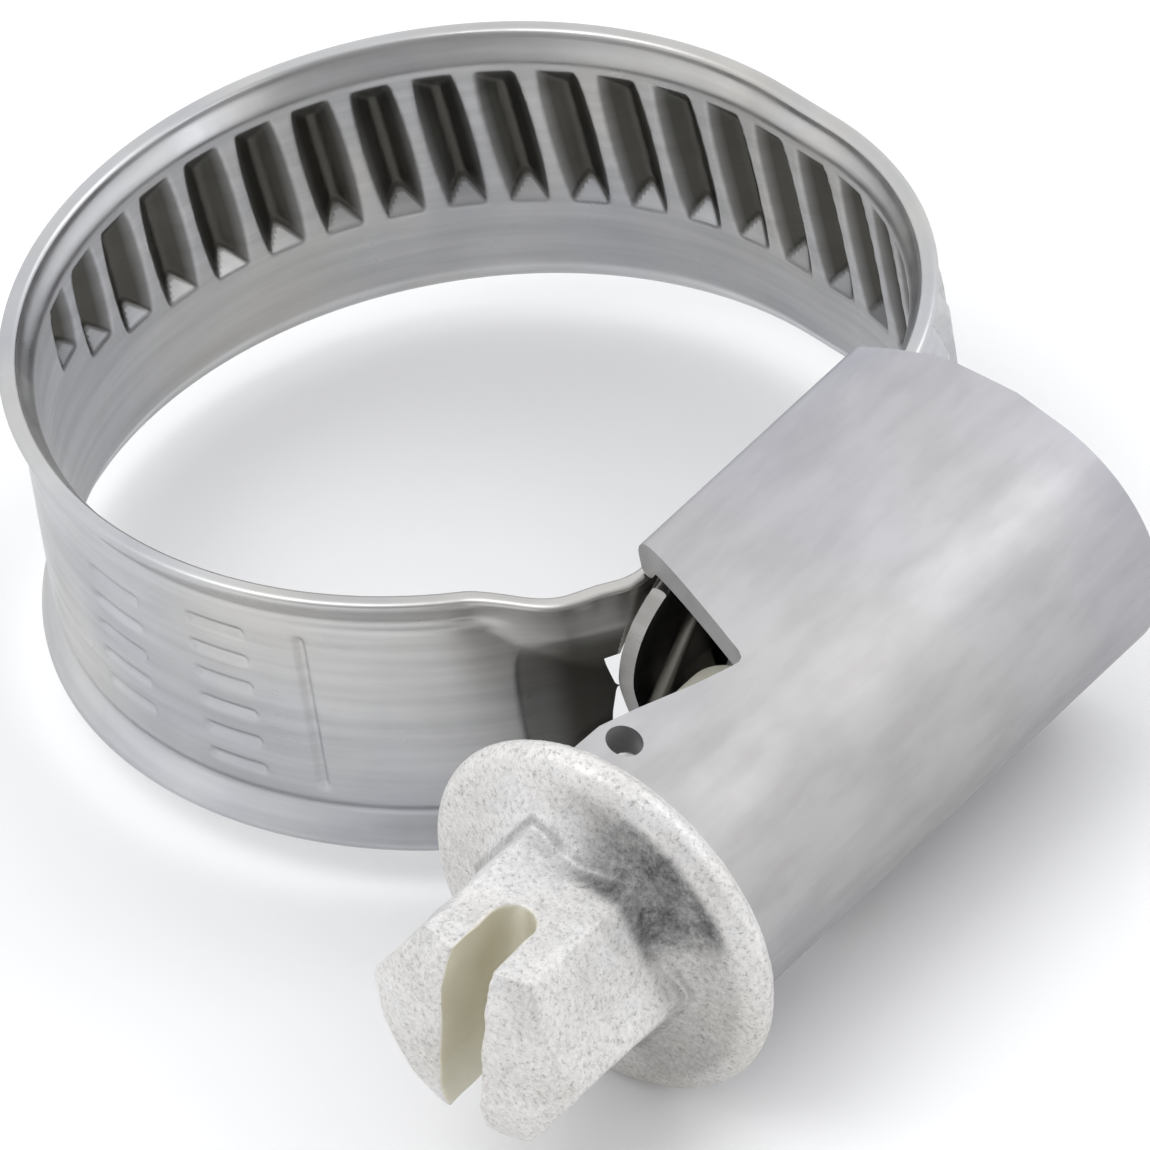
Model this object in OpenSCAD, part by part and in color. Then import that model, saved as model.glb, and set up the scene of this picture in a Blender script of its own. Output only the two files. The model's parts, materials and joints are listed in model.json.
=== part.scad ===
// Worm-drive hose clamp: a ribbed steel strap, a stamped housing and a slotted hexagon worm screw.
// Millimetres. The origin is the centre of the closed loop at half the strap's width, +Z runs along
// the loop's axis, the housing stands at +X and the screw lies parallel to Y with its head at -Y.

/* [Loop] */
// Radius of the hose seat
bore_r = 10.25; // [10:0.05:10.6]
// Width of the strap over its rolled edges
strap_w = 7.9; // [7.6:0.1:8]
// Thickness of the strap
strap_t = 0.45; // [0.4:0.01:0.48]
// How far the rolled edges stand out
lip_rise = 0.38; // [0.2:0.02:0.4]
// Width of each rolled edge
lip_w = 0.7; // [0.6:0.05:0.8]
// Angle where the strap leaves the round and opens towards the housing
leave_angle = 80; // [78:1:84]
// Bend radius of the strap where it turns into the housing
entry_r = 9; // [8.8:0.1:9.2]
// Angle of the flexing line on the far side of the loop
flex_angle = 152; // [151:0.5:153]

/* [Ribs] */
// Distance from rib to rib, which is also the pitch of the thread
pitch = 1.58; // [1.57:0.005:1.59]
// Height of a rib over the strap
rib_h = 0.45; // [0.3:0.05:0.45]
// Length of a rib across the strap
rib_len = 4.5; // [4:0.1:4.6]
// How far the ribs sit above the middle of the strap
rib_shift = 0.7; // [0:0.1:0.7]
// Width of a rib at its foot
rib_foot = 1.06; // [0.9:0.02:1.08]
// Width of a rib at its top
rib_top = 0.6; // [0.4:0.02:0.64]
// Lean of the ribs, which follows the helix of the thread
rib_lean = 5.5; // [5:0.1:6]
// Ribs before the flexing line
ribs_front = 6; // [4:1:6]
// Ribs on the free end
ribs_tongue = 7; // [5:1:7]

/* [Housing] */
// Outer radius of the barrel
barrel_r = 3.9; // [3.85:0.05:4.1]
// Thickness of the housing sheet
sheet_t = 0.8; // [0.6:0.05:0.8]
// Half of the housing's height at its base
base_half = 5.05; // [5:0.05:5.3]
// Y of the end of the sleeve, where the collar runs
sleeve_y = -11.8; // [-12:0.1:-11.6]
// Y of the mouth, where the wide part begins
mouth_y = -6.2; // [-6.4:0.1:-6]
// Y of the far end of the barrel
far_y = 4.3; // [4:0.1:4.6]
// Y of the far end at the base
far_base_y = 2.9; // [2.6:0.1:3.1]

/* [Screw] */
// Distance of the screw's axis from the hose seat
axis_offset = 3.78; // [3.74:0.01:3.84]
// Outer radius of the thread
crest_r = 2.58; // [2.5:0.01:2.59]
// Radius at the foot of the thread
root_r = 2.12; // [2:0.01:2.13]
// Radius of the neck between the thread and the journal
neck_r = 2; // [1.8:0.05:2.1]
// Width over the flats of the hexagon
hex_af = 5.5; // [5:0.1:5.5]
// Radius of the collar
collar_r = 4.95; // [4.6:0.05:5]
// Y of the end of the head
head_y = -17.9; // [-18.5:0.1:-17]
// Width of the driver slot
slot_w = 1.1; // [0.8:0.1:1.3]
// Depth of the driver slot
slot_d = 2.3; // [1.5:0.1:2.8]

/* [Hidden] */
// Ribs between the flexing line and the tongue, where the back of the loop ends
ribs_back = 15;
$fn = 96;

// Gap left at each flexing line
cut_gap = 0.12;
// Room between the fixed end and the free end that slides over it
slide_gap = 0.175;
half_w = strap_w / 2;
flat_half = half_w - lip_w;
mid_r = bore_r + strap_t / 2;

// The strap's centre line: round, straight, bend, straight
tongue_x = bore_r + strap_t + slide_gap + strap_t / 2;
bend_run = entry_r * (1 - cos(leave_angle));
straight_len = (tongue_x - mid_r * cos(leave_angle) - bend_run) / sin(leave_angle);
leave_point = mid_r * [cos(leave_angle), sin(leave_angle)];
bend_start = leave_point + straight_len * [sin(leave_angle), -cos(leave_angle)];
bend_centre = bend_start - entry_r * [cos(leave_angle), sin(leave_angle)];
pivot_y = mid_r * sin(flex_angle);
pivot_angle = asin((pivot_y - bend_centre[1]) / entry_r);
deg = 180 / PI;
round_len = (flex_angle - leave_angle) / deg * mid_r;
bend_end = round_len + straight_len + leave_angle / deg * entry_r;
round_cut = cut_gap / mid_r * deg / 2;
bend_cut = cut_gap / entry_r * deg / 2;

// Fixed end of the strap
front_end = 310;
anchor_start = front_end - 360;
anchor_end = 12;

// Free end of the strap
tip_y = -6.6;
tip_half = 1;
taper_slope = 1.1 / 1.3;

// Screw
axis_x = bore_r + axis_offset;
running_gap = 0.06;
bore_of_barrel = barrel_r - sheet_t;
journal_r = bore_of_barrel - running_gap;
journal_end = -9.9;
collar_back = sleeve_y - 0.07;
collar_rim = 0.9;
thread_start = -7.1;
thread_end = 3.6;
hex_corner = 49.7;
slot_angle = 79.7;
crest_w = 0.3;
crest_foot = 0.66;

// Point and outward angle of the strap's centre line at a distance along it from the flexing line
function path_angle(s) =
    s < round_len ? flex_angle - s / mid_r * deg
    : s < round_len + straight_len ? leave_angle
    : s < bend_end ? leave_angle - (s - round_len - straight_len) / entry_r * deg
    : 0;
function path_point(s) =
    let (a = path_angle(s))
    s < round_len ? mid_r * [cos(a), sin(a)]
    : s < round_len + straight_len ? leave_point + (s - round_len) * [sin(a), -cos(a)]
    : s < bend_end ? bend_centre + entry_r * [cos(a), sin(a)]
    : [tongue_x, bend_centre[1] - (s - bend_end)];
function rib_at(k) = (k + 0.5) * pitch;
function smooth(t) = let (u = min(1, max(0, t))) u * u * (3 - 2 * u);

module on_path(s) {
    p = path_point(s);
    translate([p[0], p[1], 0]) rotate([0, 0, path_angle(s)]) children();
}

// ---- Strap ----

// Section of the strap: x counts outwards from the inner face, y across the strap
module strap_section() {
    right = [[0, flat_half], [0.1, flat_half + 0.35], [lip_rise, half_w - 0.08],
             [lip_rise + 0.2, half_w], [lip_rise + strap_t - 0.05, half_w - 0.1],
             [strap_t + 0.12, flat_half + 0.3], [strap_t, flat_half]];
    left = [for (i = [len(right) - 1 : -1 : 0]) [right[i][0], -right[i][1]]];
    polygon(concat(right, left));
}

module arc_strip(inner_r, from, to) {
    rotate_extrude(angle = to - from, start = from) translate([inner_r, 0]) strap_section();
}

module rib(length, middle) {
    foot = strap_t / 2 - 0.06;
    top = strap_t / 2 + rib_h;
    rotate([-rib_lean, 0, 0]) translate([0, 0, middle]) linear_extrude(height = length, center = true)
        polygon([[foot, -rib_foot / 2], [top, -rib_top / 2], [top, rib_top / 2], [foot, rib_foot / 2]]);
}

module pocket(length, middle) {
    face = -strap_t / 2;
    floor_x = strap_t / 2 + rib_h - 0.42;
    mouth = rib_foot - 0.08;
    bottom = rib_top - 0.12;
    rotate([-rib_lean, 0, 0]) translate([0, 0, middle]) linear_extrude(height = length, center = true)
        polygon([[face - 0.3, -mouth / 2], [face, -mouth / 2], [floor_x, -bottom / 2],
                 [floor_x, bottom / 2], [face, mouth / 2], [face - 0.3, mouth / 2]]);
}

// Adds the ribs numbered from first to last to the plain strip given as child
module ribbed(first, last) {
    difference() {
        union() {
            children();
            for (k = [first : last]) on_path(rib_at(k)) rib(rib_length(k), rib_middle(k));
        }
        for (k = [first : last]) on_path(rib_at(k)) pocket(rib_length(k) - 0.4, rib_middle(k));
    }
}

// The ribs get shorter and move to the middle where the free end tapers
function taper_half(y) = tip_half + (y - tip_y) * taper_slope;
function rib_length(k) =
    let (y = path_point(rib_at(k))[1], near = rib_at(k) > bend_end)
    near ? min(rib_len, 2 * (taper_half(y) - 0.75)) : rib_len;
function rib_middle(k) = rib_shift * smooth((rib_length(k) - 3) / (rib_len - 3));

module strap_front() {
    color("silver")
    ribbed(-ribs_front, -1) arc_strip(bore_r, flex_angle + round_cut, front_end);
}

module strap_back() {
    inner_bend = entry_r - strap_t / 2;
    color("silver")
    ribbed(0, ribs_back - 1) {
        arc_strip(bore_r, leave_angle, flex_angle - round_cut);
        translate([leave_point[0], leave_point[1], 0])
            rotate([0, 0, leave_angle]) translate([-strap_t / 2, 0, 0])
            rotate([90, 0, 0]) linear_extrude(height = straight_len) strap_section();
        translate([bend_centre[0], bend_centre[1], 0])
            arc_strip(inner_bend, pivot_angle + bend_cut, leave_angle);
    }
}

module strap_tongue() {
    inner_bend = entry_r - strap_t / 2;
    bend_y = bend_centre[1];
    full_y = tip_y + (half_w + 0.1 - tip_half) / taper_slope;
    color("silver")
    ribbed(ribs_back, ribs_back + ribs_tongue - 1) {
        translate([bend_centre[0], bend_y, 0]) arc_strip(inner_bend, 0, pivot_angle - bend_cut);
        intersection() {
            translate([tongue_x - strap_t / 2, bend_y, 0])
                rotate([90, 0, 0]) linear_extrude(height = bend_y - tip_y) strap_section();
            translate([tongue_x - 1, 0, 0]) rotate([90, 0, 90]) linear_extrude(height = 2)
                polygon([[tip_y, -tip_half], [full_y, -half_w - 0.1], [bend_y + 1, -half_w - 0.1],
                         [bend_y + 1, half_w + 0.1], [full_y, half_w + 0.1], [tip_y, tip_half]]);
        }
    }
}

// ---- Fixed end ----

anchor_steps = 34;
anchor_rows = 16;
step_angle = (anchor_end - anchor_start) / anchor_steps;
// Radius of the upright edge's inner face, which runs out to a line parallel to the screw
function edge_r(a) =
    let (climb = bore_r + lip_rise + 0.95 * smooth((a + 50) / 12.5) - 0.12 * smooth((a + 38) / 8),
         level = (bore_r - 0.11 * smooth((-8 - a) / 20)) / cos(a),
         share = smooth((a + 31) / 4))
    climb * (1 - share) + level * share;
// Share of the edge's rise at height z: the crease runs from the edge towards the middle
function rise(a, z) =
    let (crease = (flat_half - 0.1) * (1 - smooth((a + 50) / 11)) + 0.1,
         u = max(0, (abs(z) - crease) / (half_w - crease)))
    pow(u, 1.5);
function anchor_z(j) = half_w * (2 * j / anchor_rows - 1);
function anchor_inner(i, j) =
    let (a = anchor_start + i * step_angle, z = anchor_z(j),
         r = bore_r + (edge_r(a) - bore_r) * rise(a, z))
    [r * cos(a), r * sin(a), z];
function anchor_outer(i, j) =
    let (p = anchor_inner(i, j), a = anchor_start + i * step_angle)
    p + strap_t * [cos(a), sin(a), 0];
// The lance: a row of open cells on either side of the pointed tab
lance_step = round((-32 - anchor_start) / step_angle);
function solid_cell(i, j) =
    i >= 0 && i < anchor_steps && j >= 0 && j < anchor_rows
    && !(i == lance_step && (j >= 4 && j <= 6 || j >= 9 && j <= 11));

module strap_anchor() {
    row = anchor_rows + 1;
    count = (anchor_steps + 1) * row;
    inner = [for (i = [0 : anchor_steps]) for (j = [0 : anchor_rows]) anchor_inner(i, j)];
    outer = [for (i = [0 : anchor_steps]) for (j = [0 : anchor_rows]) anchor_outer(i, j)];
    faces = [for (i = [0 : anchor_steps - 1]) for (j = [0 : anchor_rows - 1])
        if (solid_cell(i, j))
            let (a = i * row + j, b = a + row, c = b + 1, d = a + 1, n = count)
            each concat(
                [[a, b, c], [a, c, d], [a + n, c + n, b + n], [a + n, d + n, c + n]],
                solid_cell(i - 1, j) ? [] : [[a, d, d + n], [a, d + n, a + n]],
                solid_cell(i + 1, j) ? [] : [[c, b, b + n], [c, b + n, c + n]],
                solid_cell(i, j - 1) ? [] : [[b, a, a + n], [b, a + n, b + n]],
                solid_cell(i, j + 1) ? [] : [[d, c, c + n], [d, c + n, d + n]])];
    color("silver") polyhedron(concat(inner, outer), faces);
}

// ---- Housing ----

// Angle of the point where a line from (x, z) touches a circle of radius r about the screw's axis
function touch_angle(x, z, r) = atan2(z, x - axis_x) - acos(r / norm([x - axis_x, z]));

module housing_outline(r, half, foot_x, shoulder_x) {
    a = touch_angle(shoulder_x, half, r);
    touch = [axis_x + r * cos(a), r * sin(a)];
    union() {
        translate([axis_x, 0]) circle(r);
        polygon([[foot_x, -half], [shoulder_x, -half], [touch[0], -touch[1]],
                 [touch[0], touch[1]], [shoulder_x, half], [foot_x, half]]);
    }
}

module along_y(from, to) {
    translate([0, to, 0]) rotate([90, 0, 0]) linear_extrude(height = to - from) children();
}

module across_z() {
    linear_extrude(height = 20, center = true) children();
}

module housing() {
    base_x = bore_r + 0.1;
    shoulder_x = bore_r + 0.75;
    bead_top = bore_r + strap_t;
    bead_in = half_w - 0.03;
    window_x = axis_x + 0.42;
    barrel_end = axis_x + barrel_r + 1;
    color("lightgrey")
    difference() {
        along_y(sleeve_y, far_y) housing_outline(barrel_r, base_half, base_x, shoulder_x);
        along_y(sleeve_y - 1, far_y + 1)
            housing_outline(bore_of_barrel, base_half - sheet_t, bead_top + 0.05, shoulder_x);
        along_y(mouth_y - 8, far_y + 1)
            translate([base_x - 1, -bead_in]) square([bead_top + 1.2 - base_x, 2 * bead_in]);
        // the sleeve is open towards the strap, up to the slanting mouth
        across_z() polygon([[0, sleeve_y - 1], [axis_x - 0.9, sleeve_y - 1], [axis_x - 0.75, mouth_y - 3.7],
                            [window_x, mouth_y - 0.8], [window_x - 0.2, mouth_y - 0.46],
                            [bore_r, mouth_y + 0.8], [0, mouth_y + 4]]);
        // the far end slopes back towards the base
        across_z() polygon([[base_x - 2, far_base_y - 0.7], [base_x, far_base_y], [axis_x, far_y],
                            [barrel_end, far_y], [barrel_end, far_y + 2], [base_x - 2, far_y + 2]]);
        // small round hole near the collar
        translate([axis_x, mouth_y - 4.5, 0]) cylinder(r = 0.45, h = barrel_r + 2, $fn = 32);
    }
}

// ---- Screw ----

// Places children drawn about Z on the screw's axis, so that their z is the world's y
module on_axis() {
    translate([axis_x, 0, 0]) rotate([-90, 0, 0]) children();
}

// The crest passes midway between two ribs on the side of the strap
mesh_y = path_point(rib_at(ribs_back + ribs_tongue - 3))[1] + pitch / 2;
thread_columns = 24;
thread_step = pitch / 12;
thread_rows = ceil((thread_end - thread_start) / thread_step);
function tooth(t) =
    let (u = abs(t - round(t)) * pitch)
    u < crest_w / 2 ? 1 : u > crest_foot / 2 ? 0 : (crest_foot / 2 - u) / ((crest_foot - crest_w) / 2);
// turn counts by the right-hand rule about +Y from +Z; the strap is at 270 degrees
function thread_r(turn, y) =
    let (ends = smooth((y - thread_start) / 0.5) * smooth((thread_end - 0.2 - y) / 0.6))
    root_r + (crest_r - root_r) * ends * tooth((y - mesh_y) / pitch - (turn - 270) / 360);

module thread() {
    n = thread_columns;
    rows = thread_rows;
    last = (rows + 1) * n;
    ring = [for (j = [0 : rows]) for (i = [0 : n - 1])
        let (turn = 360 * i / n, y = thread_start + j * thread_step, r = thread_r(turn, y))
        [axis_x + r * sin(turn), y, r * cos(turn)]];
    ends = [[axis_x, thread_start, 0], [axis_x, thread_start + rows * thread_step, 0]];
    side = [for (j = [0 : rows - 1]) for (i = [0 : n - 1])
        let (a = j * n + i, b = j * n + (i + 1) % n, c = a + n, d = b + n)
        each [[a, d, b], [a, c, d]]];
    first_cap = [for (i = [0 : n - 1]) [last, i, (i + 1) % n]];
    last_cap = [for (i = [0 : n - 1]) [last + 1, rows * n + (i + 1) % n, rows * n + i]];
    polyhedron(concat(ring, ends), concat(side, first_cap, last_cap));
}

module screw() {
    hex_r = hex_af / sqrt(3);
    dome_y = collar_back - collar_rim;
    color("gainsboro") {
        difference() {
            union() {
                // journal, collar and dome
                on_axis() rotate_extrude()
                    polygon([[0, journal_end], [journal_r, journal_end], [journal_r, collar_back],
                             [collar_r - 0.25, collar_back], [collar_r, collar_back - 0.3],
                             [collar_r, dome_y + 0.2], [collar_r - 0.3, dome_y - 0.1],
                             [hex_r + 0.7, dome_y - 0.65], [hex_r - 0.2, dome_y - 0.9], [0, dome_y - 0.9]]);
                on_axis() intersection() {
                    rotate([0, 0, -hex_corner]) translate([0, 0, head_y])
                        cylinder(r = hex_r, h = dome_y - head_y - 0.5, $fn = 6);
                    translate([0, 0, head_y]) cylinder(r1 = hex_r - 0.5, r2 = hex_r + 2.3, h = 4.9);
                }
                on_axis() translate([0, 0, thread_start - 0.1])
                    cylinder(r = neck_r, h = 0.2);
                on_axis() translate([0, 0, journal_end - 0.5])
                    cylinder(r = neck_r, h = thread_start - journal_end + 0.5);
            }
            on_axis() rotate([0, 0, -slot_angle]) translate([-5, -slot_w / 2, head_y - 1])
                cube([10, slot_w, slot_d + 1]);
        }
        thread();
    }
}

housing();
screw();
strap_anchor();
strap_front();
strap_back();
strap_tongue();
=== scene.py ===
"""Looks of a worm-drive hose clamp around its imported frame. Shapes are worked out in millimetres and
become metres when a mesh is made. The loop's axis is Z, the housing stands at +X, the screw lies along Y."""

import json
import math

import bmesh
import bpy
import numpy as np
from mathutils import Matrix, Vector


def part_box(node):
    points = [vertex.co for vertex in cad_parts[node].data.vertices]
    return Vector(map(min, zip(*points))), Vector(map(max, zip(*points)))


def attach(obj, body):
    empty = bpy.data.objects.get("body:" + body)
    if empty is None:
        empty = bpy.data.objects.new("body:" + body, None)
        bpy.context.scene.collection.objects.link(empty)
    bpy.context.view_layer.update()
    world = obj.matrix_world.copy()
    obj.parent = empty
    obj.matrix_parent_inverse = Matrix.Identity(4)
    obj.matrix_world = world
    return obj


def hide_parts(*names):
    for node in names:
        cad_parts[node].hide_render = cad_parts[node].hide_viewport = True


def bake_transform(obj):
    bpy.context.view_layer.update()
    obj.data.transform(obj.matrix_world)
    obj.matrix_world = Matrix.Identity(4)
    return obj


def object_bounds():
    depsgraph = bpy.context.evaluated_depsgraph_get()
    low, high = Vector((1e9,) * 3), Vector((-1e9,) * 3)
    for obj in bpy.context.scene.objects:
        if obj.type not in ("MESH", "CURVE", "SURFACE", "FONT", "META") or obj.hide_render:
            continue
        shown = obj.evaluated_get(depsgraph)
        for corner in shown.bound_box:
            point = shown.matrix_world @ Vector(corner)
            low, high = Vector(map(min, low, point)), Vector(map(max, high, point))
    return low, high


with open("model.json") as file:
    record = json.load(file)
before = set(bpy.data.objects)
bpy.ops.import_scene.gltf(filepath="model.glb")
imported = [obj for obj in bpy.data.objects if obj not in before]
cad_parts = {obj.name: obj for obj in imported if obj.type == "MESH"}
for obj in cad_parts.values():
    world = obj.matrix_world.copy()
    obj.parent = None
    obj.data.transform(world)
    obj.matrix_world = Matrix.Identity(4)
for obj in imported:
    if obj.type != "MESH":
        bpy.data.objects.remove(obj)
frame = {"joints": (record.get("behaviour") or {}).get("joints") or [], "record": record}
cad_low, cad_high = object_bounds()

MM = 0.001

# ---- Sizes, from the frame ----


def joint(name):
    return next(j for j in frame["joints"] if j["name"] == name)


def pivot(name):
    return np.array(joint(name)["pos_m"]) / MM


mounts = {m["name"]: m for m in frame["record"]["mounts"]}
bore_r = mounts["hose_seat"]["dims"]["r_mm"]
axis_x = pivot("screw_turn")[0]
flex = pivot("strap_flex")[:2]
strap_t = 2 * (float(np.hypot(*flex)) - bore_r)
anchor_end = math.degrees(math.atan2(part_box("strap_anchor")[1].y / MM, bore_r))
anchor_from, anchor_to = -50, -20
mid_r = bore_r + strap_t / 2
half_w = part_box("strap_front")[1].z / MM
pitch = 1.58
leave_angle = math.radians(80)
bend_r = 9.0
tongue_x = bore_r + 1.5 * strap_t + 0.175
tip_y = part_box("strap_tongue")[0].y / MM
sleeve_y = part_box("housing")[0].y / MM
far_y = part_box("housing")[1].y / MM
base_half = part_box("housing")[1].z / MM
head_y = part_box("screw")[0].y / MM
barrel_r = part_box("housing")[1].x / MM - axis_x
sheet_t = 0.8
mouth_y = -6.2
lance_y = -5.6
lip_rise = 0.36
hex_af = 5.5
flat_turn = 19.7
slot_turn = math.radians(flat_turn + 60)
slot_half = 0.6
slot_depth = 2.5
thread_root = 2.12
start_y, start_turn = -6.35, 122
floor_z = min(cad_low.z, -base_half * MM)

# ---- Mesh helpers ----


def smooth_step(t):
    t = np.clip(t, 0.0, 1.0)
    return t * t * (3 - 2 * t)


def make_object(name, verts, faces, shade=True):
    """A mesh object from points in millimetres."""
    mesh = bpy.data.meshes.new(name)
    mesh.from_pydata([tuple(v) for v in np.asarray(verts) * MM], [], faces)
    mesh.update()
    obj = bpy.data.objects.new(name, mesh)
    bpy.context.scene.collection.objects.link(obj)
    if shade:
        mesh.polygons.foreach_set("use_smooth", [True] * len(mesh.polygons))
    return obj


def read_points(mesh, kind="co"):
    """Positions or normals of a mesh's points, one row each."""
    values = np.zeros(len(mesh.vertices) * 3)
    mesh.vertices.foreach_get(kind, values)
    return values.reshape(-1, 3)


def store(mesh, name, values):
    """Keeps one number per point, for a material to read."""
    attribute = mesh.attributes.new(name, "FLOAT", "POINT")
    attribute.data.foreach_set("value", values.astype(np.float32))


def apply_modifiers(obj):
    graph = bpy.context.evaluated_depsgraph_get()
    mesh = bpy.data.meshes.new_from_object(obj.evaluated_get(graph))
    obj.modifiers.clear()
    obj.data = mesh
    return obj


def outward(obj):
    bm = bmesh.new()
    bm.from_mesh(obj.data)
    bmesh.ops.remove_doubles(bm, verts=bm.verts, dist=1e-7)
    bmesh.ops.recalc_face_normals(bm, faces=bm.faces)
    bm.to_mesh(obj.data)
    bm.free()
    return obj


def tube_grid(name, rings):
    """Closed solid from equal rings of points, capped at both ends."""
    count, around = len(rings), len(rings[0])
    verts = [p for ring in rings for p in ring]
    faces = []
    for i in range(count - 1):
        for j in range(around):
            k = (j + 1) % around
            faces.append((i * around + j, i * around + k, (i + 1) * around + k, (i + 1) * around + j))
    faces.append(tuple(range(around))[::-1])
    faces.append(tuple((count - 1) * around + j for j in range(around)))
    return sharpen_caps(outward(make_object(name, verts, faces)))


def sharpen_caps(obj):
    """Keeps a flat end from tilting the shading of the skin beside it."""
    mesh = obj.data
    edge_of = {tuple(sorted(e.vertices)): e for e in mesh.edges}
    for face in mesh.polygons:
        if len(face.vertices) > 4:
            face.use_smooth = False
            for key in face.edge_keys:
                edge_of[tuple(sorted(key))].use_edge_sharp = True
    return obj


def prism(name, outline, low, high, axis="y"):
    """Solid from a closed outline in the plane across axis: (x, z) for y, (y, z) for x, (x, y) for z."""
    place = {"y": lambda p, h: (p[0], h, p[1]), "x": lambda p, h: (h, p[0], p[1]),
             "z": lambda p, h: (p[0], p[1], h)}[axis]
    n = len(outline)
    verts = [place(p, low) for p in outline] + [place(p, high) for p in outline]
    faces = [(i, (i + 1) % n, n + (i + 1) % n, n + i) for i in range(n)]
    faces += [tuple(range(n))[::-1], tuple(range(n, 2 * n))]
    return outward(make_object(name, verts, faces, shade=False))


def cut(obj, *cutters, operation="DIFFERENCE"):
    for cutter in cutters:
        boolean = obj.modifiers.new("cut", "BOOLEAN")
        boolean.operation = operation
        boolean.solver = "EXACT"
        boolean.object = cutter
        apply_modifiers(obj)
        bpy.data.objects.remove(cutter)
    return obj


def soften(obj, width, segments=3, angle=32):
    """Rounds the edges that are sharper than angle."""
    bevel = obj.modifiers.new("round", "BEVEL")
    bevel.width = width * MM
    bevel.segments = segments
    bevel.limit_method = "ANGLE"
    bevel.angle_limit = math.radians(angle)
    bevel.harden_normals = True
    obj.data.polygons.foreach_set("use_smooth", [True] * len(obj.data.polygons))
    return apply_modifiers(obj)


def noise_field(points, scale, seed):
    """Smooth seeded noise in -1..1 at points in millimetres."""
    rng = np.random.default_rng(seed)
    total = np.zeros(len(points))
    for _ in range(14):
        wave = rng.normal(size=3) / scale
        total += np.sin(points @ wave + rng.uniform(0, 2 * math.pi))
    return total / 14 ** 0.5 / 1.4


# ---- Strap: centre line, ribs and stamped marks ----

leave_point = mid_r * np.array([math.cos(leave_angle), math.sin(leave_angle)])
straight = (tongue_x - leave_point[0] - bend_r * (1 - math.cos(leave_angle))) / math.sin(leave_angle)
bend_start = leave_point + straight * np.array([math.sin(leave_angle), -math.cos(leave_angle)])
bend_centre = bend_start - bend_r * np.array([math.cos(leave_angle), math.sin(leave_angle)])
flex_angle = math.atan2(flex[1], flex[0])
round_len = (flex_angle - leave_angle) * mid_r
bend_from = round_len + straight
bend_end = bend_from + leave_angle * bend_r
front_from = -(math.radians(310) - flex_angle) * mid_r
tip_at = bend_end + bend_centre[1] - tip_y
first_rib, last_rib = -6, 21
rib_top = 2.95
outer_rib = (1.44, 0.42, 4.6)
pocket = (1.32, 0.14, 4.2)
rib_h, pocket_depth = 0.45, 0.5


def centre_line(s):
    """Points and outward angles of the strap's centre line at distances s from the flexing line."""
    s = np.asarray(s, float)
    angle = np.where(s < round_len, flex_angle - s / mid_r, leave_angle)
    angle = np.where(s > bend_from, leave_angle - (s - bend_from) / bend_r, angle)
    angle = np.where(s > bend_end, 0.0, angle)
    past = s - round_len
    x = np.where(past < 0, mid_r * np.cos(angle), leave_point[0] + past * math.sin(leave_angle))
    y = np.where(past < 0, mid_r * np.sin(angle), leave_point[1] - past * math.cos(leave_angle))
    bend = (s > bend_from) & (s <= bend_end)
    x = np.where(bend, bend_centre[0] + bend_r * np.cos(angle), x)
    y = np.where(bend, bend_centre[1] + bend_r * np.sin(angle), y)
    x = np.where(s > bend_end, tongue_x, x)
    y = np.where(s > bend_end, bend_centre[1] - (s - bend_end), y)
    return x, y, angle


def lip(z):
    """How far the rolled edge stands out at height z."""
    start = half_w - 0.85
    return lip_rise * smooth_step((np.abs(z) - start) / 0.75)


def groove(z):
    """Shallow line just inside each rolled edge, on the outer face."""
    return -0.1 * np.exp(-(((np.abs(z) - (half_w - 0.98)) / 0.17) ** 2))


def rib_profile(s, z, foot, top, length, slope):
    """0 to 1: how much of a rib's height is there, for ribs that lean with the thread. Its sides and
    its sloping ends are flat, its upper ends are level, and the first few ribs are shorter."""
    leaning = (s + 0.0965 * z) / pitch - 0.5
    number = np.clip(np.round(leaning), first_rib, last_rib)
    across = np.abs(leaning - number) * pitch
    length = length * (1 - 0.5 * np.exp((first_rib - number) / 1.7))
    middle = rib_top - length / 2
    on_tip = number * pitch > tip_at - 3.0
    middle, length = np.where(on_tip, 0.0, middle), np.where(on_tip, 2.7, length)
    reach = np.clip(1 - (2 * np.abs(z - middle) / length) ** 2, 0, 1)
    foot = foot * (0.72 + 0.28 * reach ** 0.5)
    flank = (foot / 2 - across) / ((foot - top) / 2)
    end = (length / 2 - np.abs(z - middle)) / slope
    return np.clip(np.minimum(flank, end), 0, 1)


def stamped_marks(s, z):
    """Generic stamping on the plain part: a thin line across and two rows of short bars."""
    depth = np.zeros(np.broadcast(s, z).shape)
    line_at = front_from + 4.1
    depth += np.exp(-(((s - line_at) / 0.12) ** 2)) * smooth_step((2.5 - np.abs(z)) / 0.3)
    for place, length, bars in ((6.4, 1.7, 6), (9.8, 1.9, 5)):
        for k in range(bars):
            middle = (k - (bars - 1) / 2) * 0.86
            here = smooth_step((length / 2 - np.abs(s - front_from - place)) / 0.12)
            depth += here * np.exp(-(((z - middle) / 0.12) ** 2))
    return np.clip(depth, 0, 1)


def strap_faces(s, z):
    """Offsets of the inner and the outer face from the centre line."""
    raised = rib_profile(s, z, *outer_rib, 0.75)
    hollow = rib_profile(s, z, *pocket, 0.7)
    marks = np.where(s < first_rib * pitch - 1, stamped_marks(s, z), 0.0)
    inner = -strap_t / 2 + lip(z) + pocket_depth * hollow
    outer = strap_t / 2 + lip(z) + groove(z) + rib_h * raised - 0.13 * marks
    return inner, outer


def across_points(limit, rows):
    """Heights across the strap, closer together at the edges."""
    t = np.linspace(-1, 1, rows)
    return limit * np.sin(t * math.pi / 2) * 0.25 + limit * t * 0.75


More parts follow.
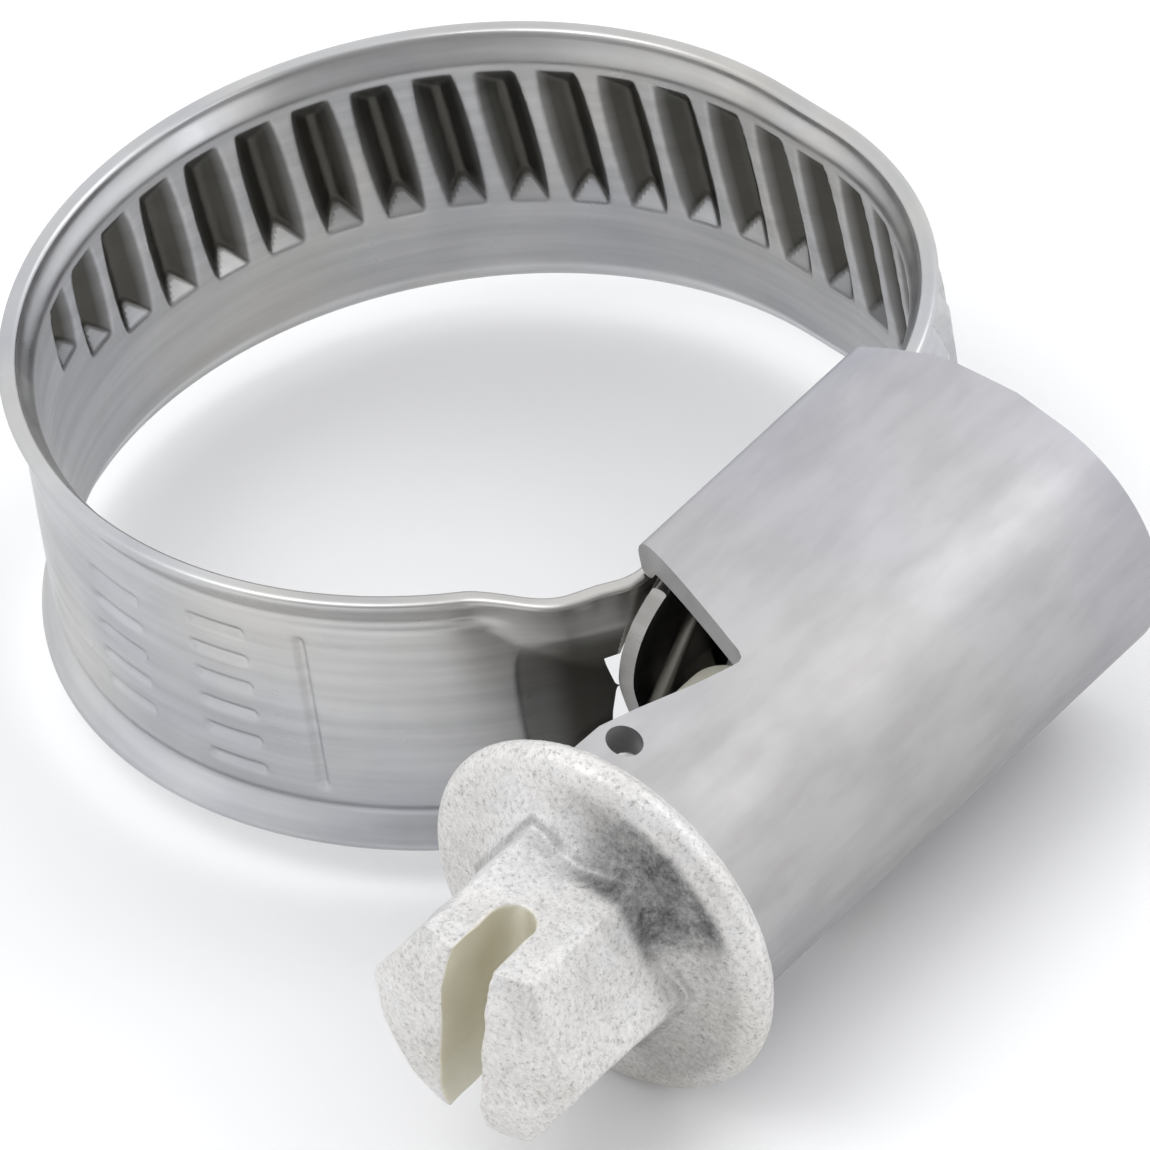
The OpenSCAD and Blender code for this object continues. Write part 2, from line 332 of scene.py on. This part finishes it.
def strap_ring(s, rows=86):
    """Ring of points round the strap's section at distance s, with a round edge."""
    limit = half_w - 0.02
    if s > tip_at - 3.6:
        limit = min(limit, 1.0 + (tip_at - s) * 1.1 / 1.3)
    z = across_points(limit - 0.12, rows)
    x, y, angle = (float(v) for v in centre_line(s))
    inner, outer = strap_faces(np.full(rows, s), z)
    height, offset = closed_section(z, inner, outer)
    return np.stack([x + offset * math.cos(angle), y + offset * math.sin(angle), height], -1)


def strap_piece(name, start, end, step=0.085):
    count = int(math.ceil((end - start) / step)) + 1
    return tube_grid(name, [strap_ring(s) for s in np.linspace(start, end, count)])


def paint_pocket_shade(obj):
    """Stores painted shade as how deep each point lies in a pocket of the strap, mostly taken away on each
    pocket's lit lower ramp, and over the tongue's end inside the housing.
    """
    p = read_points(obj.data) / MM
    samples = np.linspace(front_from, tip_at, 3000)
    x, y, angle = centre_line(samples)
    painted_pocket_shade = np.zeros(len(p))
    for low in range(0, len(p), 4000):
        part = p[low:low + 4000]
        away = (part[:, :1] - x) ** 2 + (part[:, 1:2] - y) ** 2
        k = away.argmin(1)
        offset = (part[:, 0] - x[k]) * np.cos(angle[k]) + (part[:, 1] - y[k]) * np.sin(angle[k])
        inner = strap_faces(samples[k], part[:, 2])[0]
        share = (inner + strap_t / 2 - lip(part[:, 2])) / pocket_depth
        here = np.where(np.abs(offset - inner) < 0.06, np.clip(share, 0, 1), 0)
        steep = rib_profile(samples[k], part[:, 2], *pocket, 0.02)
        # Painted light: on the steep lower ramp of each pocket the painted shade is mostly taken away, as if
        # that ramp were lit.
        ramp = np.clip((steep - share) / 0.3, 0, 1) * smooth_step((1.6 - part[:, 2]) / 0.5)
        here = here * (1 - 0.9 * ramp)
        # Painted shade: the tongue's last few millimetres, inside the housing, are darkened too.
        painted_pocket_shade[low:low + 4000] = np.maximum(here, 0.7 * smooth_step((samples[k] - tip_at + 4.5) / 1.0))
    store(obj.data, "hollow", painted_pocket_shade)


# ---- Strap: the fixed end under the housing ----


def edge_radius(a):
    """Radius of the upright edge at angle a (degrees): it climbs, dips a little and runs level."""
    rise = lip_rise + 0.97 * smooth_step((a - anchor_from) / 12.5) - 0.12 * smooth_step((a + 38) / 8)
    level = (10.14 + 0.11 * smooth_step((a + 28) / 20)) / np.cos(np.radians(a))
    share = smooth_step((a + 34) / 9)
    return (bore_r + rise) * (1 - share) + level * share


def anchor_rise(a, z):
    """Share of the edge's rise at height z. A crease runs from the edge down towards the middle."""
    crease = np.interp(a, [-52, -37.5, -32, -28], [3.2, 1.05, 0.6, 0.15])
    u = np.clip((np.abs(z) - crease) / (half_w - crease), 0, 1)
    return u ** 1.45


def dimple(a, z):
    """Round-ended dent on the outside, just before the lance."""
    border = -45.2 + 2.2 * (np.abs(z) / 2.2) ** 4
    return smooth_step((a - border) / 0.9) * smooth_step((2.3 - np.abs(z)) / 0.9)


def anchor_faces(a, z):
    """Radii of the inner and the outer face."""
    mix = smooth_step((a - anchor_from) / 7)
    share = lip(z) / lip_rise * (1 - mix) + anchor_rise(a, z) * mix
    dent = 0.07 * dimple(a, z) * smooth_step((-33 - a) / 9)
    inner = bore_r + (edge_radius(a) - bore_r) * share - dent
    return inner, inner + strap_t + groove(z) * (1 - mix)


def closed_section(z, low, high):
    """Points round a sheet's section with rounded edges: (height, distance) for distances low and high."""
    middle, radius = (low[-1] + high[-1]) / 2, (high[-1] - low[-1]) / 2
    turn = np.linspace(math.pi / 2, -math.pi / 2, 7)[1:-1]
    away = np.concatenate([high, middle + radius * np.sin(turn), low[::-1], middle - radius * np.sin(turn)])
    height = np.concatenate([z, z[-1] + 0.12 * np.cos(turn), z[::-1], z[0] - 0.12 * np.cos(turn)])
    return height, away


def anchor_ring(a, rows=90):
    z = across_points(half_w - 0.14, rows)
    height, r = closed_section(z, *anchor_faces(np.full(rows, a), z))
    angle = math.radians(a)
    return np.stack([r * math.cos(angle), r * math.sin(angle), height], -1)


def saddle_ring(y, rows=60):
    """Section across the loop of the sheet that carries on under the screw."""
    z = across_points(half_w - 0.3, rows)
    opening = 1 - smooth_step((y - lance_y) / 1.4)
    middle = math.sqrt(bore_r ** 2 - y ** 2) * (1 - opening) + 9.08 * opening
    edge = 10.27 + 0.4 * opening
    low = middle + np.maximum(edge - middle, 0) * (np.abs(z) / z[-1]) ** 1.5
    height, x = closed_section(z, low, low + strap_t)
    return np.stack([x, np.full(len(x), y), height], -1)


def make_anchor():
    """Upright edges, a crease on each side and a lance whose pointed tab meets the saddle's edge."""
    sheet = tube_grid("strap_fixed_end", [anchor_ring(a) for a in np.linspace(anchor_from, anchor_to, 150)])
    tab = [(lance_y, 0.0), (-5.66, 0.04), (-5.7, 0.15)]
    above = [(-5.86, 0.97), (-5.55, 1.02), (-5.3, 3.0), (-3, 3.2)]
    below = [(-5.94, -1.2), (-6.15, -1.85), (-5.5, -1.95), (-5.3, -3.0), (-3, -3.2)]
    opening = prism("lance", tab + above + below[::-1] + [(y, -z) for y, z in tab[:0:-1]], 6, 14, axis="x")
    cut(sheet, opening)
    end_y = (bore_r + strap_t) * math.sin(math.radians(anchor_end)) - 0.17
    saddle = tube_grid("saddle", [saddle_ring(y) for y in np.linspace(lance_y + 0.02, end_y, 90)])
    return cut(sheet, saddle, operation="UNION")


def paint_dent_shade(obj):
    """Stores painted shade on the outside of the fixed end: the dent darkens, more towards the lance."""
    p = read_points(obj.data) / MM
    a = np.degrees(np.arctan2(p[:, 1], p[:, 0]))
    outside = np.hypot(p[:, 0], p[:, 1]) > sum(anchor_faces(a, p[:, 2])) / 2
    # Painted shade: the dent grows darker towards the lance.
    painted_dent_shade = dimple(a, p[:, 2]) * (0.16 + 0.34 * smooth_step((a + 42) / 5)) * (p[:, 1] < lance_y)
    store(obj.data, "hollow", painted_dent_shade * outside)


# ---- Housing ----


def touch_angle(x, z, r):
    return math.atan2(z, x - axis_x) - math.acos(r / math.hypot(x - axis_x, z))


def half_outline(r, half, shoulder_x, steps=40):
    """From the wall's top round the shoulder and over the barrel to its top, z above 0."""
    a = touch_angle(shoulder_x, half, r)
    start, corner = np.array([shoulder_x - 0.5, half]), np.array([shoulder_x + 0.5, half - 0.02])
    end = np.array([axis_x + r * math.cos(a), r * math.sin(a)])
    points = [tuple((1 - t) ** 2 * start + 2 * t * (1 - t) * corner + t * t * end)
              for t in np.linspace(0, 1, 14)[:-1]]
    return points + [(axis_x + r * math.cos(b), r * math.sin(b)) for b in np.linspace(a, 0, steps)]


def housing_section():
    """Closed outline of the bent sheet. A rounded bead on each foot holds the strap's edge."""
    foot, wall = bore_r + 0.02, base_half - sheet_t
    bead = 0.55
    one_side = [(foot + bead - bead * math.sin(b), base_half - bead + bead * math.cos(b))
                for b in np.linspace(math.pi / 2, 0.12, 8)]
    one_side += half_outline(barrel_r, base_half, bore_r + 1.2)
    inside = [(foot + 0.03, half_w + 0.16), (foot + 0.1, half_w + 0.04), (foot + 0.22, half_w - 0.01),
              (foot + 0.36, half_w + 0.01), (foot + 0.48, half_w + 0.1), (foot + 0.56, half_w + 0.2)]
    inside += half_outline(barrel_r - sheet_t, wall, bore_r + 1.15)
    outer_all = one_side + [(x, -z) for x, z in one_side[::-1][1:]]
    inner_all = inside + [(x, -z) for x, z in inside[::-1][1:]]
    return outer_all + inner_all[::-1]


def window_outline():
    """(x, y) outline of what is open between the collar and the slanting mouth."""
    corner = axis_x + 0.42
    points = [(0, sleeve_y - 2), (axis_x - 0.8, sleeve_y - 2), (axis_x - 0.7, mouth_y - 4.6),
              (axis_x - 0.42, mouth_y - 3.6), (axis_x + 0.1, mouth_y - 2.0), (corner - 0.03, mouth_y - 0.9),
              (corner, mouth_y - 0.7)]
    points += [(corner - 0.05, mouth_y - 0.56), (corner - 0.2, mouth_y - 0.46)]
    return points + [(bore_r, mouth_y + 0.8), (0, mouth_y + 4.0)]


def make_housing():
    body = prism("housing_shell", housing_section(), sleeve_y, far_y)
    window = prism("window", window_outline(), -9, 9, axis="z")
    slope = [(bore_r - 3, far_y - 2.15), (bore_r + 0.6, far_y - 1.35), (bore_r + 2.2, far_y - 0.45),
             (bore_r + 4.0, far_y - 0.06), (bore_r + 9, far_y + 0.02), (bore_r + 9, far_y + 3),
             (bore_r - 3, far_y + 3)]
    far_cut = prism("far_cut", slope, -9, 9, axis="z")
    hole_r, hole_y, hole_turn = 0.44, -10.72, math.radians(90.5)
    around = np.linspace(0, 2 * math.pi, 28, endpoint=False)
    hole = prism("hole", [(hole_r * math.cos(b), hole_r * math.sin(b)) for b in around], 1.0, 6.0, axis="x")
    turn = Matrix.Rotation(-hole_turn, 4, "Y")
    hole.data.transform(Matrix.Translation((axis_x * MM, hole_y * MM, 0)) @ turn)
    cut(body, window, far_cut, hole)
    return soften(body, 0.13, 3, 35)


# ---- Screw ----


def lathe(name, profile, around=120):
    """Solid turned about the screw's axis from (radius, y) points."""
    rings = []
    for r, y in profile:
        turn = np.linspace(0, 2 * math.pi, around, endpoint=False)
        rings.append(np.stack([axis_x + r * np.sin(turn), np.full(around, y), r * np.cos(turn)], -1))
    return tube_grid(name, rings)


def thread_body():
    """Neck, journal and worm thread as one turned solid with a right-hand helix and a blunt start."""
    crest, root, neck = 2.58, thread_root, 2.0
    start, end = -7.3, 3.6
    mesh_at = bend_centre[1] - (rib_distance(last_rib - 2) - bend_end) + pitch / 2
    ys = np.concatenate([[-12.3, -12.2], np.linspace(-10.0, -9.85, 4), np.linspace(-9.8, start, 10),
                         np.arange(start + 0.04, end + 0.001, 0.04), [end + 0.12, end + 0.16]])
    turn = np.linspace(0, 2 * math.pi, 144, endpoint=False)
    rings = []
    for y in ys:
        if y < -9.9:
            r = np.full(len(turn), barrel_r - sheet_t - 0.06)
        elif y <= start:
            r = np.full(len(turn), neck)
        else:
            t = (y - mesh_at) / pitch - (turn - 1.5 * math.pi) / (2 * math.pi)
            u = np.abs(t - np.round(t)) * pitch
            ends = smooth_step((y - start - 0.1) / 0.35) * smooth_step((end - y) / 0.5)
            r = root + (crest - root) * ends * smooth_step((0.29 - u) / 0.22)
            r = r - 0.5 * smooth_step((y - end + 0.35) / 0.5)
            away = np.abs(np.degrees(np.arctan2(np.cos(turn), np.sin(turn))) - start_turn)
            lump = smooth_step((0.62 - abs(y - start_y)) / 0.15) * smooth_step((32 - away) / 8)
            r = np.maximum(r, root + 0.62 * lump)
        if y > end + 0.1:
            r = r * 0 + 1.2
        rings.append(np.stack([axis_x + r * np.sin(turn), np.full(len(turn), y), r * np.cos(turn)], -1))
    return tube_grid("thread", rings)


def rib_distance(k):
    return (k + 0.5) * pitch


def make_head():
    """Domed collar and chamfered hexagon with a round-bottomed driver slot."""
    collar_back = sleeve_y - 0.07
    rim = collar_back - 0.5
    hex_r = hex_af / math.sqrt(3)
    dome = [(0.01, collar_back + 0.5), (3.0, collar_back + 0.5), (3.04, collar_back), (4.5, collar_back),
            (4.75, collar_back - 0.04)]
    dome += [(4.5 + 0.45 * math.cos(b), rim - 0.45 * math.sin(b)) for b in np.linspace(-1.2, 1.35, 9)]
    dome += [(4.3, rim - 0.53), (3.9, rim - 0.6), (3.45, rim - 0.69), (3.05, rim - 0.88), (2.75, rim - 1.2),
             (2.5, rim - 1.6), (0.01, rim - 1.6)]
    head = lathe("screw_piece", dome)
    outline = []
    for k in range(6):
        for shift in (-5, 0, 5):
            a = math.radians(flat_turn + 30 + 60 * k + shift)
            r = hex_r * 0.985 if shift == 0 else hex_af / 2 / math.cos(math.radians(30 - abs(shift)))
            outline.append((axis_x + r * math.cos(a), r * math.sin(a)))
    hexagon = prism("hexagon", outline, head_y, rim - 0.7)
    cone = [(0.01, head_y), (1.8, head_y), (2.5, head_y + 0.2), (hex_r - 0.06, head_y + 0.6)]
    cone += [(hex_r + 0.4, head_y + 1.1), (hex_r + 0.4, rim), (0.01, rim)]
    chamfer = lathe("chamfer", cone)
    cut(hexagon, chamfer, operation="INTERSECT")
    cut(head, hexagon, operation="UNION")
    along = np.array([math.cos(slot_turn), math.sin(slot_turn)])
    side = np.array([-along[1], along[0]])
    profile = [(-slot_half, head_y - 1), (slot_half, head_y - 1)]
    profile += [(slot_half * math.cos(b), head_y + slot_depth - slot_half + slot_half * math.sin(b))
                for b in np.linspace(0, math.pi, 15)]
    slot = prism("slot", profile, -6, 6, axis="z")
    turn = Matrix(((side[0], 0, along[0], axis_x * MM), (0, 1, 0, 0),
                   (side[1], 0, along[1], 0), (0, 0, 0, 1)))
    slot.data.transform(turn)
    if turn.determinant() < 0:
        slot.data.flip_normals()
    return cut(head, slot)


def forge(obj, voxel):
    """Melts the edges a little and gives the skin the small unevenness of a forged and plated piece."""
    remesh = obj.modifiers.new("melt", "REMESH")
    remesh.mode = "VOXEL"
    remesh.voxel_size = voxel * MM
    apply_modifiers(obj)
    relax = obj.modifiers.new("relax", "SMOOTH")
    relax.factor = 0.5
    relax.iterations = 3
    apply_modifiers(obj)
    mesh = obj.data
    mesh.polygons.foreach_set("use_smooth", [True] * len(mesh.polygons))
    co = read_points(mesh)
    p = co / MM
    share = smooth_step((-12.6 - p[:, 1]) / 1.2)
    bump = 0.035 * noise_field(p, 0.55, 3) + 0.02 * noise_field(p, 0.25, 4)
    co += read_points(mesh, "normal") * (bump * share)[:, None] * MM
    mesh.vertices.foreach_set("co", co.ravel())
    store_screw_tint_light_and_shade(mesh, p)
    mesh.update()
    return obj


def store_screw_tint_light_and_shade(mesh, p):
    """Stores the slot's paler metal, which is partly its own beige and partly painted light, painted light
    on the thread's start, and painted shade on the collar: a dark side, a greyer lower part and a dark line
    at the hexagon's root.
    """
    x, y, z = p[:, 0] - axis_x, p[:, 1], p[:, 2]
    radius = np.hypot(x, z)
    around = np.degrees(np.arctan2(z, x))
    beside = x * -math.sin(slot_turn) + z * math.cos(slot_turn)
    from_round = np.hypot(beside, np.maximum(y - head_y - slot_depth + slot_half, 0))
    # The slot walls get a pale beige, partly their own colour and partly painted light.
    in_slot = smooth_step((slot_half + 0.04 - from_round) / 0.04)
    # Painted light: the thread's start is made pale, as if lit.
    start = smooth_step((0.8 - np.abs(y - start_y)) / 0.1) * (radius > 2.3)
    start = start * smooth_step((36 - np.abs(around - start_turn)) / 6)
    store(mesh, "slot_tint_and_painted_light", np.maximum(in_slot, start))
    # Painted shade: a dark side of the collar and a greyer lower part, set by the angle round the screw's
    # axis.
    painted_dark_side = smooth_step((around - 2) / 22) * smooth_step((104 - around) / 52)
    painted_dark_side = np.maximum(painted_dark_side, 0.3 * smooth_step((around + 100) / 40) * smooth_step((70 - around) / 30))
    painted_dark_side = painted_dark_side * smooth_step((radius - 2.0) / 0.4) * smooth_step((4.6 - radius) / 0.35)
    painted_dark_side = painted_dark_side * smooth_step((y + 14.2) / 0.4)
    # Painted shade: a dark line where the hexagon's flats meet the collar.
    flats = [math.radians(flat_turn + 60 * k) for k in range(6)]
    across = np.max([x * math.cos(a) + z * math.sin(a) for a in flats], axis=0)
    painted_root_shade = smooth_step(1.3 - np.abs(across - hex_af / 2 - 0.11) / 0.13)
    painted_root_shade = painted_root_shade * smooth_step((y - sleeve_y + 2.15) / 0.25) * (radius < 3.6)
    store(mesh, "painted_collar_shade", np.maximum(painted_dark_side, 0.5 * painted_root_shade))


def make_screw():
    head = make_head()
    cut(head, thread_body(), operation="UNION")
    return forge(head, 0.055)


# ---- Materials ----


class Nodes:
    """Small helper that adds nodes to a material and links them."""

    def __init__(self, name):
        self.material = bpy.data.materials.new(name)
        self.material.use_nodes = True
        self.tree = self.material.node_tree
        self.shader = self.tree.nodes["Principled BSDF"]
        self.place = self.add("ShaderNodeTexCoord").outputs["Object"]

    def add(self, kind, **values):
        node = self.tree.nodes.new(kind)
        for key, value in values.items():
            setattr(node, key, value)
        return node

    def link(self, source, target):
        self.tree.links.new(source, target)

    def noise(self, scale, detail=4.0, stretch=None, rough=0.55):
        node = self.add("ShaderNodeTexNoise")
        node.inputs["Scale"].default_value = scale
        node.inputs["Detail"].default_value = detail
        node.inputs["Roughness"].default_value = rough
        source = self.place
        if stretch is not None:
            mapping = self.add("ShaderNodeMapping")
            mapping.inputs["Scale"].default_value = stretch
            self.link(self.place, mapping.inputs["Vector"])
            source = mapping.outputs["Vector"]
        self.link(source, node.inputs["Vector"])
        return node.outputs["Fac"]

    def ramp(self, source, *stops):
        node = self.add("ShaderNodeValToRGB")
        elements = node.color_ramp.elements
        while len(elements) < len(stops):
            elements.new(0.5)
        for element, (where, colour) in zip(elements, stops):
            element.position = where
            element.color = (*colour, 1) if len(colour) == 3 else colour
        self.link(source, node.inputs["Fac"])
        return node.outputs["Color"]

    def mix(self, share, first, second, mode="MIX"):
        node = self.add("ShaderNodeMix", data_type="RGBA", blend_type=mode)
        for value, socket in ((share, node.inputs[0]), (first, node.inputs[6]), (second, node.inputs[7])):
            if hasattr(value, "links"):
                self.link(value, socket)
            else:
                socket.default_value = value
        return node.outputs[2]

    def bump(self, *layers):
        normal = None
        for source, strength, distance in layers:
            node = self.add("ShaderNodeBump")
            node.inputs["Strength"].default_value = strength
            node.inputs["Distance"].default_value = distance * MM
            self.link(source, node.inputs["Height"])
            if normal is not None:
                self.link(normal, node.inputs["Normal"])
            normal = node.outputs["Normal"]
        self.link(normal, self.shader.inputs["Normal"])


def grey(v, warm=0.0):
    return (v * (1 + warm), v, v * (1 - warm))


def strap_material():
    m = Nodes("rolled_strap_steel")
    clouds = m.noise(260, 5)
    streaks = m.noise(900, 3, stretch=(0.15, 0.15, 3.0))
    tint = m.noise(140, 2)
    base = m.ramp(clouds, (0.3, grey(0.43)), (0.7, grey(0.56)))
    base = m.mix(0.35, base, m.ramp(streaks, (0.35, grey(0.28)), (0.65, grey(0.55))))
    hues = m.ramp(tint, (0.35, (0.42, 0.44, 0.56)), (0.5, (0.55, 0.55, 0.55)), (0.68, (0.6, 0.53, 0.4)))
    base = m.mix(0.18, base, hues)
    # Painted shade: where the stored hollow value is high (pockets, the dent on the fixed end, the tongue's
    # end), the colour goes near black.
    depth = m.add("ShaderNodeAttribute", attribute_name="hollow").outputs["Fac"]
    depth = m.ramp(depth, (0.02, grey(0.0)), (0.14, grey(0.6)), (0.5, grey(0.93)))
    base = m.mix(depth, base, (0.055, 0.052, 0.042, 1))
    m.link(base, m.shader.inputs["Base Color"])
    m.shader.inputs["Metallic"].default_value = 1.0
    m.link(m.ramp(m.noise(600, 4), (0.3, grey(0.26)), (0.75, grey(0.42))), m.shader.inputs["Roughness"])
    m.bump((streaks, 0.16, 0.03), (m.noise(2600, 3), 0.1, 0.02))
    return m.material


def housing_material():
    m = Nodes("satin_housing_steel")
    clouds = m.noise(110, 4)
    fine = m.noise(1500, 3, stretch=(1.0, 0.25, 1.0))
    tint = m.noise(75, 2)
    base = m.ramp(clouds, (0.3, (0.3, 0.305, 0.335)), (0.7, (0.41, 0.415, 0.445)))
    hues = m.ramp(tint, (0.3, (0.42, 0.44, 0.58)), (0.48, (0.5, 0.48, 0.52)), (0.66, (0.55, 0.5, 0.42)))
    base = m.mix(0.3, base, hues)
    base = m.mix(0.16, base, m.ramp(fine, (0.35, grey(0.3)), (0.6, grey(0.58))))
    m.link(base, m.shader.inputs["Base Color"])
    m.shader.inputs["Metallic"].default_value = 1.0
    m.link(m.ramp(m.noise(350, 4), (0.3, grey(0.46)), (0.75, grey(0.6))), m.shader.inputs["Roughness"])
    m.bump((fine, 0.08, 0.03), (m.noise(3200, 3), 0.12, 0.02))
    return m.material


def screw_material():
    m = Nodes("mottled_zinc")
    blotches = m.noise(330, 8, rough=0.72)
    grain = m.noise(6500, 5, rough=0.8)
    specks = m.noise(7500, 5, rough=0.8)
    warm = m.noise(170, 3)
    base = m.ramp(blotches, (0.32, grey(0.44, 0.03)), (0.46, grey(0.6, 0.03)), (0.62, grey(0.74, 0.03)))
    base = m.mix(0.3, base, m.ramp(warm, (0.38, (0.55, 0.51, 0.4)), (0.6, (0.66, 0.66, 0.68))))
    base = m.mix(0.34, base, m.ramp(grain, (0.34, grey(0.2)), (0.45, grey(0.62)), (0.6, grey(0.88, 0.01))))
    dark = m.ramp(specks, (0.37, grey(0.5)), (0.45, grey(0.0)))
    base = m.mix(dark, base, (0.13, 0.12, 0.1, 1))
    # Painted shade on the collar, broken up by streaks: a dark side, a greyer lower part and the line at the
    # hexagon's root.
    painted_collar_shade = m.add("ShaderNodeAttribute", attribute_name="painted_collar_shade").outputs["Fac"]
    streaks = m.noise(900, 6, stretch=(1.0, 0.5, 1.0), rough=0.8)
    painted_collar_shade = m.mix(1.0, painted_collar_shade, m.ramp(streaks, (0.4, grey(1.0)), (0.62, grey(0.55))), mode="MULTIPLY")
    base = m.mix(painted_collar_shade, base, m.ramp(grain, (0.35, grey(0.05)), (0.6, grey(0.12)), (0.7, grey(0.32))))
    # Pale beige for the slot walls, partly their own colour and partly painted light, and painted light on
    # the thread's start.
    slot_tint_and_painted_light = m.add("ShaderNodeAttribute", attribute_name="slot_tint_and_painted_light").outputs["Fac"]
    base = m.mix(slot_tint_and_painted_light, base, m.ramp(warm, (0.3, (0.62, 0.58, 0.45)), (0.7, (0.8, 0.78, 0.68))))
    m.link(base, m.shader.inputs["Base Color"])
    m.shader.inputs["Metallic"].default_value = 0.45
    m.link(m.ramp(grain, (0.35, grey(0.55)), (0.65, grey(0.36))), m.shader.inputs["Roughness"])
    m.bump((blotches, 0.25, 0.05), (grain, 0.35, 0.025), (specks, 0.3, 0.03))
    return m.material


def floor_material():
    m = Nodes("pale_floor")
    m.link(m.ramp(m.noise(40, 2), (0.3, grey(0.9)), (0.7, grey(0.92))), m.shader.inputs["Base Color"])
    m.shader.inputs["Roughness"].default_value = 0.9
    return m.material


# ---- Build the pieces ----

seam = rib_distance(7) + pitch / 2
strap_steel = strap_material()

band_loop = strap_piece("strap_loop", front_from, seam)
band_end = strap_piece("strap_free_end", seam, tip_at)
fixed_end = make_anchor()
for piece in (band_loop, band_end):
    paint_pocket_shade(piece)
paint_dent_shade(fixed_end)
for piece in (band_loop, band_end, fixed_end):
    piece.data.materials.append(strap_steel)



def blend_at(piece):
    """Bakes the piece's placement into its mesh."""
    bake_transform(piece)


blend_at(band_loop)
blend_at(band_end)
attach(fixed_end, "clamp_body")
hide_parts("strap_front", "strap_back")
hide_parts("strap_tongue")
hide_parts("strap_anchor")

housing = make_housing()
housing.data.materials.append(housing_material())
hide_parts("housing")
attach(housing, "clamp_body")

screw = make_screw()
screw.data.materials.append(screw_material())
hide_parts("screw")
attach(screw, "worm")

# ---- Floor, light and camera ----

floor_side = 3000
corners = [(-1, -1), (1, -1), (1, 1), (-1, 1)]
floor_points = [(x * floor_side, y * floor_side, floor_z / MM) for x, y in corners]
floor = make_object("floor", floor_points, [(0, 1, 2, 3)])
floor.data.materials.append(floor_material())


def soft_light(name, azimuth, height, distance, size, power):
    """An area light that looks at the loop's centre, in millimetres and watts."""
    light = bpy.data.lights.new(name, "AREA")
    light.shape = "RECTANGLE"
    light.size, light.size_y = size[0] * MM, size[1] * MM
    light.energy = power
    obj = bpy.data.objects.new(name, light)
    bpy.context.scene.collection.objects.link(obj)
    a, e = math.radians(azimuth), math.radians(height)
    away = Vector((math.sin(a) * math.cos(e), -math.cos(a) * math.cos(e), math.sin(e)))
    obj.location = away * distance * MM
    obj.rotation_euler = away.to_track_quat("Z", "Y").to_euler()


soft_light("key", -20, 65, 260, (160, 120), 0.14)
soft_light("rim", 150, 40, 260, (180, 90), 0.1)
soft_light("side", 100, 25, 260, (90, 140), 0.05)


def studio_world():
    """Pale all round, and darker towards one side so that the steel has something to reflect."""
    world = bpy.data.worlds.new("studio")
    bpy.context.scene.world = world
    world.use_nodes = True
    nodes, links = world.node_tree.nodes, world.node_tree.links
    facing = nodes.new("ShaderNodeVectorMath")
    facing.operation = "DOT_PRODUCT"
    facing.inputs[1].default_value = (0.62, -0.55, 0.3)
    fade = nodes.new("ShaderNodeValToRGB")
    pale, dark = fade.color_ramp.elements
    pale.position, pale.color = 0.25, (0.97, 0.98, 1.0, 1)
    dark.position, dark.color = 0.85, (0.4, 0.4, 0.41, 1)
    background = nodes["Background"]
    background.inputs["Strength"].default_value = 1.22
    links.new(nodes.new("ShaderNodeTexCoord").outputs["Generated"], facing.inputs[0])
    links.new(facing.outputs["Value"], fade.inputs["Fac"])
    links.new(fade.outputs["Color"], background.inputs["Color"])


def far_camera(azimuth, elevation, roll, width, shift):
    """A far camera at angles in degrees. It sees width and aims past the centre by shift, both in mm."""
    a, e, r = (math.radians(v) for v in (azimuth, elevation, roll))
    distance = 600.0
    back = np.array([math.sin(a) * math.cos(e), -math.cos(a) * math.cos(e), math.sin(e)])
    level = np.array([math.cos(a), math.sin(a), 0.0])
    above = np.cross(back, level)
    right = math.cos(r) * level + math.sin(r) * above
    up = -math.sin(r) * level + math.cos(r) * above
    data = bpy.data.cameras.new("camera")
    data.sensor_width = 36
    data.lens = distance * data.sensor_width / width
    data.clip_start = 0.01
    data.clip_end = 20
    camera = bpy.data.objects.new("camera", data)
    bpy.context.scene.collection.objects.link(camera)
    where = (right * shift[0] + up * shift[1] + back * distance) * MM
    camera.matrix_world = Matrix([(right[i], up[i], back[i], where[i]) for i in range(3)] + [(0, 0, 0, 1)])
    bpy.context.scene.camera = camera


studio_world()
far_camera(44.6, 39.67, -9.56, width=27.95, shift=(2.549, -3.480))
bpy.context.scene.view_settings.view_transform = "Standard"

bpy.context.view_layer.update()
